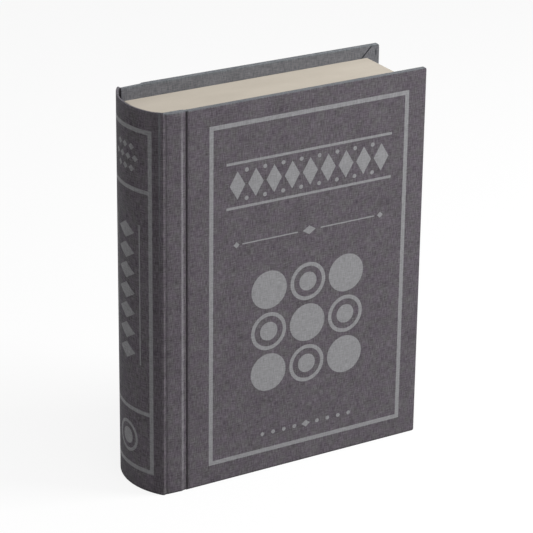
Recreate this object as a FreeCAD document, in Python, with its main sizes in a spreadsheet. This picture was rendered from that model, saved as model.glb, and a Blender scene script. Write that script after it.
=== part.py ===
import FreeCAD
import Part
import Sketcher
import os
import re

# A checkers and backgammon set in a case made like a cloth-bound book.
# Millimetres. The case stands on its tail: +Z is up, the front cover faces -Y, the spine is at -X.
# The origin is the middle of the standing case at its foot.

# Driving dimensions
SIZES = {
    # binding
    "case_height": 241.0,        # cover boards, tail to head
    "case_depth": 55.0,          # outside of front cover to outside of back cover
    "panel_width": 162.1,        # cover panel, groove to fore edge
    "groove_width": 2.0,         # hinge groove
    "strip_width": 12.5,         # joint strip between groove and spine
    "spine_flat": 0.65,          # flat of the spine card before its shoulder
    "spine_rise": 9.8,           # height of the round of the spine
    "shoulder_radius": 4.0,      # rounding where the spine meets the faces
    "corner_radius": 2.0,        # rounding of the covers' outer corners
    "board_thick": 2.6,          # binder's board in the covers
    "cloth_thick": 0.4,          # binding cloth
    "turn_in": 15.0,             # cloth folded over the inside of a board
    "spine_card": 1.2,           # card under the spine cloth
    "lining_thick": 0.3,         # lining paper inside the front cover
    "lining_margin": 4.0,        # cloth left showing round the lining paper
    # page-block tray
    "square_ends": 7.4,          # boards stand past the block at head and tail
    "square_fore": 8.5,          # boards stand past the block at the fore edge
    "edge_paper": 0.3,           # cream paper round the block
    "wall_thick": 2.5,           # tray walls
    "hinge_wall_thick": 5.0,     # doubled wall that carries the joint strip
    "floor_thick": 2.0,          # tray floor on the back cover
    "lid_gap": 0.2,              # closed cover to the tray's rim
    # folding game board
    "leaf_thick": 3.2,           # one leaf
    "tape_thick": 0.4,           # hinge tape folded between the leaves
    "tape_width": 8.0,           # tape on each leaf
    "finger_gap": 13.2,          # room beside the fold to lift the board
    "board_clearance": 0.6,      # leaves to the tray walls
    "board_drop": 0.3,           # folded board below the rim
    # foam insert and leaflet
    "insert_clearance": 0.5,     # insert to the tray walls
    "well_clearance": 0.4,       # piece to the side of its well
    "well_rib": 16.0,            # foam between checker wells and cup wells
    "well_floor": 3.0,           # foam left under the cups, the deepest pieces
    "channel_spacing": 32.0,     # between the two checker wells
    "cup_spacing": 60.0,         # between the two cup wells
    "side_spacing": 50.0,        # dice well and cube well from the middle
    "leaflet_thick": 0.8,
    "leaflet_width": 110.0,
    "leaflet_height": 180.0,
    # playing pieces
    "checker_diameter": 20.0,
    "checker_thick": 6.0,
    "checker_rim": 2.6,          # raised rim of a checker, bevel included
    "checker_dish": 0.6,         # face sunk below the rim
    "checker_bevel": 0.6,
    "cup_height": 56.0,
    "cup_wall": 2.0,
    "cup_base": 3.0,
    "cup_lip": 1.0,              # lip proud of the cup's side
    "cup_lip_height": 5.0,
    "cup_bevel": 1.0,
    "die_size": 12.0,
    "die_rounding": 1.4,
    "cube_size": 20.0,           # doubling cube
    "cube_rounding": 2.0,
}

CHECKERS_PER_SIDE = 15
DICE = ["light_die_1", "light_die_2", "dark_die_1", "dark_die_2"]
NEAR = 0.001                     # what counts as touching, or as the same size

# Places worked out from the driving dimensions, each a formula in the same words
PLACES = {
    # depth, front to back
    "front_face": "-case_depth / 2",
    "back_face": "case_depth / 2",
    "panel_thick": "board_thick + 2 * cloth_thick",
    "cover_inside": "front_face + panel_thick",
    "rim_front": "cover_inside + lining_thick + lid_gap",
    "floor_back": "back_face - panel_thick",
    "floor_front": "floor_back - floor_thick",
    "upper_leaf_front": "rim_front + board_drop",
    "tape_front": "upper_leaf_front + leaf_thick",
    "lower_leaf_front": "tape_front + tape_thick",
    "insert_front": "lower_leaf_front + leaf_thick",
    "insert_back": "floor_front - leaflet_thick",
    # width, spine to fore edge
    "spine_radius": "(back_face * back_face + spine_rise * spine_rise) / (2 * spine_rise)",
    "shoulder_reach": "spine_radius - shoulder_radius",
    "shoulder_drop": "back_face - shoulder_radius",
    "spine_bulge": "spine_radius - sqrt(shoulder_reach * shoulder_reach - shoulder_drop * shoulder_drop)",
    "fore_edge": "(panel_width + groove_width + strip_width + spine_flat + spine_bulge) / 2",
    "groove_right": "fore_edge - panel_width",
    "groove_left": "groove_right - groove_width",
    "strip_left": "groove_left - strip_width",
    "shoulder_x": "strip_left - spine_flat",
    "block_right": "fore_edge - square_fore",
    "wall_right": "block_right - edge_paper",
    "inner_right": "wall_right - wall_thick",
    "inner_left": "groove_right",
    "fold_line": "inner_left + finger_gap",
    "board_right": "inner_right - board_clearance",
    "insert_left": "inner_left + insert_clearance",
    "insert_width": "inner_right - insert_clearance - insert_left",
    # height, tail to head
    "block_low": "square_ends",
    "block_high": "case_height - square_ends",
    "wall_low": "block_low + edge_paper",
    "wall_high": "block_high - edge_paper",
    "inner_low": "wall_low + wall_thick",
    "inner_high": "wall_high - wall_thick",
    "insert_height": "inner_high - insert_clearance - inner_low",
    # wells, measured in the insert from its spine side and its foot
    "insert_middle": "insert_width / 2",
    "cup_diameter": "insert_back - insert_front - well_floor - 2 * well_clearance",
    "channel_width": "checker_diameter + 2 * well_clearance",
    "channel_length": f"{CHECKERS_PER_SIDE} * checker_thick + well_clearance",
    "cup_well_width": "cup_diameter + 2 * well_clearance",
    "cup_well_length": "cup_height + well_clearance",
    "channel_low": "(insert_height - channel_length - well_rib - cup_well_length) / 2",
    "cup_well_low": "channel_low + channel_length + well_rib",
    "dice_well_width": "die_size + 2 * well_clearance",
    "dice_well_length": f"{len(DICE)} * die_size + well_clearance",
    "dice_well_low": "channel_low + (channel_length - dice_well_length) / 2",
    "cube_well_width": "cube_size + 2 * well_clearance",
    "cube_well_length": "cube_size + well_clearance",
    "cube_well_low": "channel_low + (channel_length - cube_well_length) / 2",
}

doc = FreeCAD.newDocument("book_case_game_set")
sheet = doc.addObject("Spreadsheet::Sheet", "Sizes")
for row, (word, number) in enumerate(SIZES.items(), start=1):
    sheet.set(f"A{row}", word)
    sheet.set(f"B{row}", str(number))
    sheet.setAlias(f"B{row}", word)
doc.recompute()

pieces = {}


# Formulas, sketches and plain shapes

def formula(text):
    """Spell out a formula in words as an expression on the sheet's cells."""
    def spell(match):
        word = match.group(0)
        if word in SIZES:
            return f"Sizes.{word}"
        if word in PLACES:
            return f"({formula(PLACES[word])})"
        return word
    return re.sub(r"[a-z_]+", spell, text)


def value(text):
    """The number that a formula gives now."""
    return float(sheet.evalExpression(formula(text)))


def bind(thing, name, text):
    thing.setExpression(name, formula(text))


def place(thing, x, y, z):
    bind(thing, "Placement.Base.x", x)
    bind(thing, "Placement.Base.y", y)
    bind(thing, "Placement.Base.z", z)


def keep(label, thing):
    """Hand a finished shape in as a piece of the set."""
    thing.Label = label
    pieces[label] = thing
    return thing


def block(label, x, y, z):
    """A square block between two formulas on each axis."""
    box = doc.addObject("Part::Box", label)
    bind(box, "Length", f"({x[1]}) - ({x[0]})")
    bind(box, "Width", f"({y[1]}) - ({y[0]})")
    bind(box, "Height", f"({z[1]}) - ({z[0]})")
    place(box, x[0], y[0], z[0])
    return box


def cut(label, base, tools):
    """The base with every tool taken out of it."""
    piece = base
    for number, tool in enumerate(tools, start=1):
        stage = doc.addObject("Part::Cut", label if number == len(tools) else f"{label}_cut_{number}")
        stage.Base = piece
        stage.Tool = tool
        piece = stage
    return piece


def join(label, first, second):
    piece = doc.addObject("Part::Fuse", label)
    piece.Base = first
    piece.Tool = second
    piece.Refine = True
    return piece


def new_sketch(body, name, role):
    """A sketch on one of the body's own base planes."""
    plane = next(item for item in body.Origin.OriginFeatures if item.Role == role)
    sketch = body.newObject("Sketcher::SketchObject", name)
    sketch.AttachmentSupport = (plane, [""])
    sketch.MapMode = "FlatFace"
    return sketch


def draw_outline(sketch, corners):
    """A closed outline whose every corner is tied to formulas; a corner at "0" lies on the axis."""
    first = sketch.GeometryCount
    count = len(corners)
    points = [FreeCAD.Vector(value(across), value(along), 0) for across, along in corners]
    for number in range(count):
        sketch.addGeometry(Part.LineSegment(points[number], points[(number + 1) % count]), False)
    for number in range(count):
        following = first + (number + 1) % count
        sketch.addConstraint(Sketcher.Constraint("Coincident", first + number, 2, following, 1))
    for number, (across, along) in enumerate(corners):
        for kind, axis, text in (("DistanceX", -2, across), ("DistanceY", -1, along)):
            line = first + number
            if text == "0":
                sketch.addConstraint(Sketcher.Constraint("PointOnObject", line, 1, axis))
                continue
            tie = sketch.addConstraint(Sketcher.Constraint(kind, -1, 1, line, 1, value(text)))
            sketch.setExpression(f"Constraints[{tie}]", formula(text))


def draw_rectangle(sketch, left, low, width, height):
    right = f"{left} + {width}" if left != "0" else width
    high = f"{low} + {height}" if low != "0" else height
    draw_outline(sketch, [(left, low), (right, low), (right, high), (left, high)])


def plate_body(label, width, height, thickness):
    """A plate standing on the XZ plane with its thickness towards +Y."""
    body = doc.addObject("PartDesign::Body", label)
    sketch = new_sketch(body, f"{label}_outline", "XZ_Plane")
    draw_rectangle(sketch, "0", "0", width, height)
    pad = body.newObject("PartDesign::Pad", f"{label}_pad")
    pad.Profile = sketch
    pad.Reversed = True
    bind(pad, "Length", thickness)
    doc.recompute()
    return body, pad


def rounded_panel(label, x, y, z, radius):
    """A panel with its two fore-edge corners rounded."""
    width = f"({x[1]}) - ({x[0]})"
    height = f"({z[1]}) - ({z[0]})"
    body, pad = plate_body(label, width, height, f"({y[1]}) - ({y[0]})")
    far_side = pad.Shape.BoundBox.XMax
    corners = []
    for number, edge in enumerate(pad.Shape.Edges, start=1):
        reach = edge.BoundBox
        if reach.XMin > far_side - NEAR and reach.ZLength < NEAR:
            corners.append(f"Edge{number}")
    fillet = body.newObject("PartDesign::Fillet", f"{label}_corners")
    fillet.Base = (pad, corners)
    bind(fillet, "Radius", radius)
    body.Tip = fillet
    place(body, x[0], y[0], z[0])
    return body


def turned_body(label, half_section):
    """A piece turned about its upright axis from its half section (radius, height)."""
    body = doc.addObject("PartDesign::Body", label)
    sketch = new_sketch(body, f"{label}_section", "XZ_Plane")
    draw_outline(sketch, half_section)
    turning = body.newObject("PartDesign::Revolution", f"{label}_turning")
    turning.Profile = sketch
    turning.ReferenceAxis = (sketch, ["V_Axis"])
    turning.Angle = 360
    body.Tip = turning
    return body


def rounded_cube(label, side, rounding):
    """A cube with all its edges rounded."""
    body, pad = plate_body(label, side, side, side)
    fillet = body.newObject("PartDesign::Fillet", f"{label}_edges")
    fillet.Base = (pad, [f"Edge{number + 1}" for number in range(len(pad.Shape.Edges))])
    bind(fillet, "Radius", rounding)
    body.Tip = fillet
    return body


# Covers

def turn_in_window(depth):
    """The part of a cover's inside that the turned-in cloth leaves bare."""
    across = ("groove_right + cloth_thick", "fore_edge - turn_in")
    return across, depth, ("turn_in", "case_height - turn_in")


def cover(side, front, back, window_depth):
    """A cover board and the cloth round it, open on the inside within the turn-ins."""
    board = keep(f"{side}_cover_board", rounded_panel(
        f"{side}_cover_board",
        ("groove_right + cloth_thick", "fore_edge - cloth_thick"),
        (f"{front} + cloth_thick", f"{back} - cloth_thick"),
        ("cloth_thick", "case_height - cloth_thick"),
        "corner_radius - cloth_thick"))
    whole = rounded_panel(
        f"{side}_cover_whole", ("groove_right", "fore_edge"), (front, back), ("0", "case_height"), "corner_radius")
    window = block(f"{side}_cover_window", *turn_in_window(window_depth))
    keep(f"{side}_cover_cloth", cut(f"{side}_cover_cloth", whole, [board, window]))


FRONT_WINDOW = ("cover_inside - cloth_thick", "cover_inside")
BACK_WINDOW = ("floor_back", "floor_back + cloth_thick")
cover("front", "front_face", "cover_inside", FRONT_WINDOW)
cover("back", "floor_back", "back_face", BACK_WINDOW)

lining_fill = block("front_lining_fill", *turn_in_window(FRONT_WINDOW))
lining_sheet = block(
    "front_lining_sheet",
    ("groove_right + cloth_thick", "fore_edge - lining_margin"),
    ("cover_inside", "cover_inside + lining_thick"),
    ("lining_margin", "case_height - lining_margin"))
keep("front_lining_paper", join("front_lining_paper", lining_fill, lining_sheet))


# Grooves, joint strips and spine

def hinge_cloth(label, depth):
    """The strip of cloth at the bottom of a groove."""
    keep(label, block(label, ("groove_left", "groove_right"), depth, ("0", "case_height")))


def joint_strip(label, depth):
    """The board between a groove and the spine, inside the spine cloth."""
    across = ("strip_left", "groove_left - cloth_thick")
    return keep(label, block(label, across, depth, ("cloth_thick", "case_height - cloth_thick")))


def spine_path(inset, level):
    """The plan line of the spine at a level, so far inside the cloth's face, and its start at the front strip."""
    depth = value("back_face")
    shoulder = value("shoulder_radius")
    centre = FreeCAD.Vector(value("spine_radius - fore_edge"), 0, level)
    front_shoulder = FreeCAD.Vector(value("shoulder_x"), shoulder - depth, level)
    outward = (front_shoulder - centre).normalize()
    towards_face = FreeCAD.Vector(0, -1, 0)
    half_way = (outward + towards_face).normalize()
    start = FreeCAD.Vector(value("strip_left"), inset - depth, level)
    face_end = front_shoulder + towards_face * (shoulder - inset)
    round_mid = front_shoulder + half_way * (shoulder - inset)
    round_end = front_shoulder + outward * (shoulder - inset)
    crown = centre - FreeCAD.Vector(value("spine_radius") - inset, 0, 0)
    front = [Part.LineSegment(start, face_end).toShape(), Part.Arc(face_end, round_mid, round_end).toShape()]
    back = [Part.LineSegment(mirrored(face_end), mirrored(start)).toShape(),
            Part.Arc(mirrored(round_end), mirrored(round_mid), mirrored(face_end)).toShape()]
    spine = Part.Arc(round_end, crown, mirrored(round_end)).toShape()
    return front + [spine, back[1], back[0]], start


def mirrored(point):
    return FreeCAD.Vector(point.x, -point.y, point.z)


def spine_band(outer_inset, inner_inset, low, high):
    """A curved sheet between two plan lines of the spine."""
    outer, outer_start = spine_path(outer_inset, low)
    inner, inner_start = spine_path(inner_inset, low)
    ends = [Part.LineSegment(outer_start, inner_start).toShape(),
            Part.LineSegment(mirrored(outer_start), mirrored(inner_start)).toShape()]
    wire = Part.Wire(Part.__sortEdges__(outer + inner + ends))
    return Part.Face(wire).extrude(FreeCAD.Vector(0, 0, high - low))


def plain_box(x, y, z):
    """A block as a bare shape, from formulas."""
    low = FreeCAD.Vector(value(x[0]), value(y[0]), value(z[0]))
    high = FreeCAD.Vector(value(x[1]), value(y[1]), value(z[1]))
    span = high - low
    return Part.makeBox(span.x, span.y, span.z, low)


def from_shape(label, shape):
    """A piece whose curved section is worked out above."""
    feature = doc.addObject("Part::Feature", label)
    feature.Shape = shape
    feature.Placement = FreeCAD.Placement()
    return keep(label, feature)


hinge_cloth("front_hinge_cloth", ("rim_front - cloth_thick", "rim_front"))
hinge_cloth("back_hinge_cloth", BACK_WINDOW)
front_strip = joint_strip("front_joint_strip", ("front_face + cloth_thick", "rim_front"))
back_strip = joint_strip("back_joint_strip", ("floor_back", "back_face - cloth_thick"))
doc.recompute()

cloth = value("cloth_thick")
height = value("case_height")
card_inside = value("cloth_thick + spine_card")
card = spine_band(cloth, card_inside, cloth, height - cloth)
from_shape("spine_card", card)

strip_reach = ("strip_left", "groove_left")
full_height = ("0", "case_height")
front_wrap = plain_box(strip_reach, ("front_face", "rim_front"), full_height)
back_wrap = plain_box(strip_reach, ("floor_back", "back_face"), full_height)
spine_wrap = spine_band(0, card_inside + cloth, 0, height)
bare_inside = spine_band(card_inside, card_inside + cloth, value("turn_in"), value("case_height - turn_in"))
wrapped = spine_wrap.fuse([front_wrap, back_wrap]).cut([card, bare_inside, front_strip.Shape, back_strip.Shape])
from_shape("spine_cloth", wrapped.removeSplitter())

# Page-block tray

BLOCK_DEPTH = ("rim_front", "floor_front")
BETWEEN_ENDS = ("inner_low", "inner_high")
floor_plate = block(
    "tray_floor_plate", ("strip_left", "wall_right"), ("floor_front", "floor_back"), ("wall_low", "wall_high"))
floor_fill = block("tray_floor_fill", *turn_in_window(BACK_WINDOW))
keep("tray_floor", join("tray_floor", floor_plate, floor_fill))

WALLS = {
    "tail_wall": (("strip_left", "wall_right"), ("wall_low", "inner_low")),
    "head_wall": (("strip_left", "wall_right"), ("inner_high", "wall_high")),
    "fore_edge_wall": (("inner_right", "wall_right"), BETWEEN_ENDS),
    "hinge_wall": (("inner_left - hinge_wall_thick", "inner_left"), BETWEEN_ENDS),
    "spine_wall": (("strip_left", "strip_left + wall_thick"), BETWEEN_ENDS),
}
for label, (across, upright) in WALLS.items():
    keep(label, block(label, across, BLOCK_DEPTH, upright))

WRAP_DEPTH = ("rim_front", "floor_back")
paper_outside = block("page_edge_outside", ("strip_left", "block_right"), WRAP_DEPTH, ("block_low", "block_high"))
paper_inside = block("page_edge_inside", ("strip_left", "wall_right"), WRAP_DEPTH, ("wall_low", "wall_high"))
keep("page_edge_paper", cut("page_edge_paper", paper_outside, [paper_inside]))

# Folding game board

BOARD_HEIGHT = ("inner_low + board_clearance", "inner_high - board_clearance")
BOARD_LAYERS = {
    "board_upper_leaf": (("fold_line", "board_right"), ("upper_leaf_front", "tape_front")),
    "board_hinge_tape": (("fold_line", "fold_line + tape_width"), ("tape_front", "lower_leaf_front")),
    "board_lower_leaf": (("fold_line", "board_right"), ("lower_leaf_front", "insert_front")),
}
for label, (across, depth) in BOARD_LAYERS.items():
    keep(label, block(label, across, depth, BOARD_HEIGHT))

# Foam insert with its wells, and the leaflet under it

insert, insert_pad = plate_body("foam_insert", "insert_width", "insert_height", "insert_back - insert_front")
WELLS = {
    "checker": ("channel_width", "channel_low", "channel_length", "checker_diameter + 2 * well_clearance",
                ["-channel_spacing / 2", "channel_spacing / 2"]),
    "cup": ("cup_well_width", "cup_well_low", "cup_well_length", "cup_diameter + 2 * well_clearance",
            ["-cup_spacing / 2", "cup_spacing / 2"]),
    "dice": ("dice_well_width", "dice_well_low", "dice_well_length", "die_size + well_clearance",
             ["-side_spacing"]),
    "cube": ("cube_well_width", "cube_well_low", "cube_well_length", "cube_size + well_clearance",
             ["side_spacing"]),
}
for well, (width, low, length, depth, offsets) in WELLS.items():
    sketch = new_sketch(insert, f"{well}_well_outline", "XZ_Plane")
    for offset in offsets:
        draw_rectangle(sketch, f"insert_middle + ({offset}) - {width} / 2", low, width, length)
    before = insert.Shape.Volume
    pocket = insert.newObject("PartDesign::Pocket", f"{well}_well")
    pocket.Profile = sketch
    bind(pocket, "Length", depth)
    doc.recompute()
    insert.Tip = pocket
    doc.recompute()
    hollowed = before - insert.Shape.Volume
    wanted = len(offsets) * value(width) * value(length) * value(depth)
    if abs(hollowed - wanted) > NEAR * wanted:
        raise RuntimeError(f"{well} well is {hollowed:.1f} mm3, not {wanted:.1f}")
place(insert, "insert_left", "insert_front", "inner_low")
keep("foam_insert", insert)

LEAFLET_LEFT = "insert_left + insert_middle - leaflet_width / 2"
keep("rules_leaflet", block(
    "rules_leaflet",
    (LEAFLET_LEFT, f"{LEAFLET_LEFT} + leaflet_width"),
    ("insert_back", "floor_front"),
    ("inner_low", "inner_low + leaflet_height")))

# Playing pieces, each resting on the low side of its well

CHECKER_RADIUS = "checker_diameter / 2"
CHECKER_SECTION = [
    ("0", "checker_dish"),
    (f"{CHECKER_RADIUS} - checker_rim", "checker_dish"),
    (f"{CHECKER_RADIUS} - checker_rim", "0"),
    (f"{CHECKER_RADIUS} - checker_bevel", "0"),
    (CHECKER_RADIUS, "checker_bevel"),
    (CHECKER_RADIUS, "checker_thick - checker_bevel"),
    (f"{CHECKER_RADIUS} - checker_bevel", "checker_thick"),
    (f"{CHECKER_RADIUS} - checker_rim", "checker_thick"),
    (f"{CHECKER_RADIUS} - checker_rim", "checker_thick - checker_dish"),
    ("0", "checker_thick - checker_dish"),
]
CUP_SIDE = "cup_diameter / 2 - cup_lip"
CUP_BORE = f"{CUP_SIDE} - cup_wall"
CUP_SECTION = [
    ("0", "0"),
    (f"{CUP_SIDE} - cup_bevel", "0"),
    (CUP_SIDE, "cup_bevel"),
    (CUP_SIDE, "cup_height - cup_lip_height"),
    ("cup_diameter / 2", "cup_height - cup_lip_height"),
    ("cup_diameter / 2", "cup_height"),
    (CUP_BORE, "cup_height"),
    (CUP_BORE, "cup_base"),
    ("0", "cup_base"),
]
WELL_MIDDLE = "insert_left + insert_middle"

for colour, offset in (("light", "-channel_spacing / 2"), ("dark", "channel_spacing / 2")):
    for number in range(CHECKERS_PER_SIDE):
        label = f"{colour}_checker_{number + 1:02d}"
        checker = keep(label, turned_body(label, CHECKER_SECTION))
        place(checker,
              f"{WELL_MIDDLE} + ({offset})",
              f"insert_front + well_clearance + {CHECKER_RADIUS}",
              f"inner_low + channel_low + {number} * checker_thick")

for label, offset in (("light_dice_cup", "-cup_spacing / 2"), ("dark_dice_cup", "cup_spacing / 2")):
    cup = keep(label, turned_body(label, CUP_SECTION))
    place(cup,
          f"{WELL_MIDDLE} + ({offset})",
          "insert_front + well_clearance + cup_diameter / 2",
          "inner_low + cup_well_low")

for number, label in enumerate(DICE):
    die = keep(label, rounded_cube(label, "die_size", "die_rounding"))
    place(die,
          f"{WELL_MIDDLE} - side_spacing - die_size / 2",
          "insert_front + well_clearance",
          f"inner_low + dice_well_low + {number} * die_size")

cube = keep("doubling_cube", rounded_cube("doubling_cube", "cube_size", "cube_rounding"))
place(cube, f"{WELL_MIDDLE} + side_spacing - cube_size / 2", "insert_front + well_clearance", "inner_low + cube_well_low")

# Every piece is sound before any is written

doc.recompute()
for thing in doc.Objects:
    if "Invalid" in thing.State or "Error" in thing.State:
        raise RuntimeError(f"{thing.Label} failed to build: {thing.State}")
for label, piece in pieces.items():
    shape = piece.Shape
    if shape.isNull() or not shape.isValid() or len(shape.Solids) != 1:
        raise RuntimeError(f"{label} is not one sound solid")

os.makedirs("parts", exist_ok=True)
for label, piece in pieces.items():
    piece.Shape.exportStep(f"parts/{label}.step")
print(f"{len(pieces)} pieces written")
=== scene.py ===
import math

import bmesh
import bpy
from mathutils import Euler, Matrix, Vector


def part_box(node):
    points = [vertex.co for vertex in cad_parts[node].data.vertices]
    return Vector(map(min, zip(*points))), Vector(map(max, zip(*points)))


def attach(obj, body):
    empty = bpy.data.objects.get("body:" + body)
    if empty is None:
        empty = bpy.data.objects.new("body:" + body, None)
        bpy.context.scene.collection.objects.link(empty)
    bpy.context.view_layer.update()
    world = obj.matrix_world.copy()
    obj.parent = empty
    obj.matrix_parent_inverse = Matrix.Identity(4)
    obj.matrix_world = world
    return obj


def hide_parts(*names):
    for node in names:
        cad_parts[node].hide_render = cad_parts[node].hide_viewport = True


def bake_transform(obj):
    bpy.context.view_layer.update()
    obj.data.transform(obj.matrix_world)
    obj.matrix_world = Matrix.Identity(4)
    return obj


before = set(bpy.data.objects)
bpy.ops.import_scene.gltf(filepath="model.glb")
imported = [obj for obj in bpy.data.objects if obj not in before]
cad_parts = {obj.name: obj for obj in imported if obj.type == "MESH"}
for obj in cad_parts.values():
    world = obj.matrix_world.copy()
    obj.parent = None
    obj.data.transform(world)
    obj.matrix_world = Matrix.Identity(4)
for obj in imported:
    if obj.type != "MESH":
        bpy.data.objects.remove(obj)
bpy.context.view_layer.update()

# Shapes below are drawn in millimetres, in the solids' own frame: x to the right, the front
# cover facing -y, z up, the spine to the left. make_piece() turns them into metres.
MM = 0.001


def box_mm(node):
    """Lowest and highest corner of a solid, in millimetres."""
    low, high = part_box(node)
    return Vector(low) / MM, Vector(high) / MM


# Places that several pieces share, taken from the solids
FRONT_LOW, FRONT_HIGH = box_mm("front_cover_cloth")
BACK_LOW, BACK_HIGH = box_mm("back_cover_cloth")
BLOCK_LOW, BLOCK_HIGH = box_mm("page_edge_paper")
CASE_HEIGHT = FRONT_HIGH.z
MID_HEIGHT = CASE_HEIGHT / 2
FORE_EDGE = FRONT_HIGH.x
FRONT_FACE = FRONT_LOW.y
HALF_DEPTH = BACK_HIGH.y    # from the middle of the case to the outer face of a cover
INNER_FACE = BACK_LOW.y     # and to the face that looks at the pages
GROOVE_RIGHT = FRONT_LOW.x
GROOVE_LEFT = box_mm("spine_cloth")[1].x
STRIP_LEFT = box_mm("front_joint_strip")[0].x

# Sizes that several pieces share
CLOTH_THICK = 0.35
FLAP = 15.0                 # cloth folded over the inside of a board
MITRE_IN = 5.8              # from the fore edge to where that flap's end starts to slant
FLAP_END = 0.7              # and how far from the head or tail it ends
SPINE_RISE = 9.8            # height of the round of the back
SPINE_RADIUS = (HALF_DEPTH ** 2 + SPINE_RISE ** 2) / (2 * SPINE_RISE)
SPINE_CENTRE = SPINE_RADIUS - FORE_EDGE     # x of the middle of the rounded back


# Shader values

class Value:
    """One socket of a node tree. Sums on it add Math nodes."""

    def __init__(self, nodes, socket):
        self.nodes = nodes
        self.socket = socket

    def reckon(self, operation, first, second=None):
        sockets = {0: first} if second is None else {0: first, 1: second}
        return self.nodes.node("ShaderNodeMath", {"operation": operation}, sockets)

    def __add__(self, other):
        return self.reckon("ADD", self, other)

    def __sub__(self, other):
        return self.reckon("SUBTRACT", self, other)

    def __rsub__(self, other):
        return self.reckon("SUBTRACT", other, self)

    def __mul__(self, other):
        return self.reckon("MULTIPLY", self, other)

    def __truediv__(self, other):
        return self.reckon("DIVIDE", self, other)

    __radd__ = __add__
    __rmul__ = __mul__

    def wave(self, pitch):
        """A sine wave that repeats once in each pitch."""
        return self.reckon("SINE", self * (2 * math.pi / pitch))

    def root(self):
        return self.reckon("SQRT", self)

    def size(self):
        return self.reckon("ABSOLUTE", self)

    def floor(self):
        return self.reckon("FLOOR", self)

    def over(self, edge):
        return self.reckon("GREATER_THAN", self, edge)

    def larger(self, other):
        return self.reckon("MAXIMUM", self, other)

    def spread(self, low, high):
        """0 at low, 1 at high, straight between and held beyond."""
        return self.nodes.node("ShaderNodeMapRange", {"clamp": True}, {0: self, 1: low, 2: high})


class Nodes:
    """The node tree of a material or of the world."""

    def __init__(self, owner):
        owner.use_nodes = True
        self.tree = owner.node_tree

    def node(self, kind, settings, sockets, output=0):
        made = self.tree.nodes.new(kind)
        for name, value in settings.items():
            setattr(made, name, value)
        for name, value in sockets.items():
            self.feed(made.inputs[name], value)
        return Value(self, made.outputs[output])

    def feed(self, socket, value):
        if isinstance(value, Value):
            self.tree.links.new(value.socket, socket)
        else:
            socket.default_value = value

    def seen(self):
        """1 on rays from the camera, and on rays that were mirrored or let through."""
        straight = self.node("ShaderNodeLightPath", {}, {}, "Is Camera Ray")
        mirrored = self.node("ShaderNodeLightPath", {}, {}, "Is Glossy Ray")
        let_through = self.node("ShaderNodeLightPath", {}, {}, "Is Transmission Ray")
        return straight.larger(mirrored).larger(let_through)


class Finish(Nodes):
    """A material on one Principled shader."""

    def __init__(self, name, fixed):
        self.material = bpy.data.materials.new(name)
        super().__init__(self.material)
        self.shader = self.tree.nodes["Principled BSDF"]
        for socket, value in fixed.items():
            self.shader.inputs[socket].default_value = value

    def place(self):
        """The point's own x, y and z, in millimetres."""
        spot = self.node("ShaderNodeTexCoord", {}, {}, "Object")
        return [part / MM for part in self.parts(spot)]

    def laid(self):
        """How far along and up the cloth a point lies, in millimetres."""
        spot = self.node("ShaderNodeUVMap", {"uv_map": "laid"}, {})
        return [part / MM for part in self.parts(spot)[:2]]

    def parts(self, spot):
        split = self.node("ShaderNodeSeparateXYZ", {}, {0: spot}).socket.node
        return [Value(self, socket) for socket in split.outputs]

    def point(self, x, y, z):
        return self.node("ShaderNodeCombineXYZ", {}, {0: x, 1: y, 2: z})

    def noise(self, spot, detail=2.0, roughness=0.5):
        sockets = {"Vector": spot, "Scale": 1.0, "Detail": detail, "Roughness": roughness}
        return self.node("ShaderNodeTexNoise", {}, sockets)

    def grain(self, sizes, detail=2.0, roughness=0.5):
        """Noise whose grains have these sizes along x, y and z, in millimetres."""
        spot = [part / size for part, size in zip(self.place(), sizes)]
        return self.noise(self.point(*spot), detail, roughness)

    def mix(self, amount, low, high):
        settings = {"data_type": "RGBA", "clamp_factor": True}
        return self.node("ShaderNodeMix", settings, {0: amount, 6: low, 7: high}, 2)

    def surface(self, colour, roughness, height, depth):
        """Links what changes over the surface. depth is the bump's depth in millimetres."""
        self.feed(self.shader.inputs["Base Color"], colour)
        self.feed(self.shader.inputs["Roughness"], roughness)
        bump = self.node("ShaderNodeBump", {}, {"Height": height, "Distance": depth * MM})
        self.feed(self.shader.inputs["Normal"], bump)
        return self.material


def tone(red, green, blue):
    """A colour as it is seen on a screen, from 0 to 255, as the shader's linear numbers."""
    def linear(level):
        level = level / 255
        return level / 12.92 if level <= 0.04045 else ((level + 0.055) / 1.055) ** 2.4
    return linear(red), linear(green), linear(blue), 1.0


# Shaping tools

SHARP_ANGLE = 38            # degrees between two faces above which their edge isn't smoothed


def plain_box(low, high):
    shape = bmesh.new()
    bmesh.ops.create_cube(shape, size=1.0)
    bmesh.ops.scale(shape, vec=high - low, verts=shape.verts)
    bmesh.ops.translate(shape, vec=(low + high) / 2, verts=shape.verts)
    return shape


def rounded_slab(low, high, corners, edge, steps):
    """An upright slab. corners holds the corner radius at its left and right, edge rounds both rims."""
    shape = plain_box(low, high)
    middle = (low.x + high.x) / 2
    for radius, right in zip(corners, (False, True)):
        upright = [e for e in shape.edges if runs_through(e) and (e.verts[0].co.x > middle) == right]
        round_edges(shape, upright, radius, steps + 2)
    rims = [e for e in shape.edges if not runs_through(e)]
    round_edges(shape, rims, edge, steps)
    return shape


def runs_through(edge):
    """Whether an edge goes from a slab's front to its back."""
    return abs(edge.verts[0].co.y - edge.verts[1].co.y) > 1e-4


def round_edges(shape, edges, radius, steps):
    bmesh.ops.bevel(shape, geom=edges, offset=radius, offset_type="OFFSET", segments=steps,
                    profile=0.5, affect="EDGES", material=-1, clamp_overlap=True)


def large_faces(shape, area):
    return [f for f in shape.faces if f.calc_area() > area]


def hem_faces(shape, area, width):
    """A narrow border inside each flat face larger than area, so that it shades flat."""
    for face in large_faces(shape, area):
        bmesh.ops.inset_region(shape, faces=[face], thickness=width)


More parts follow.
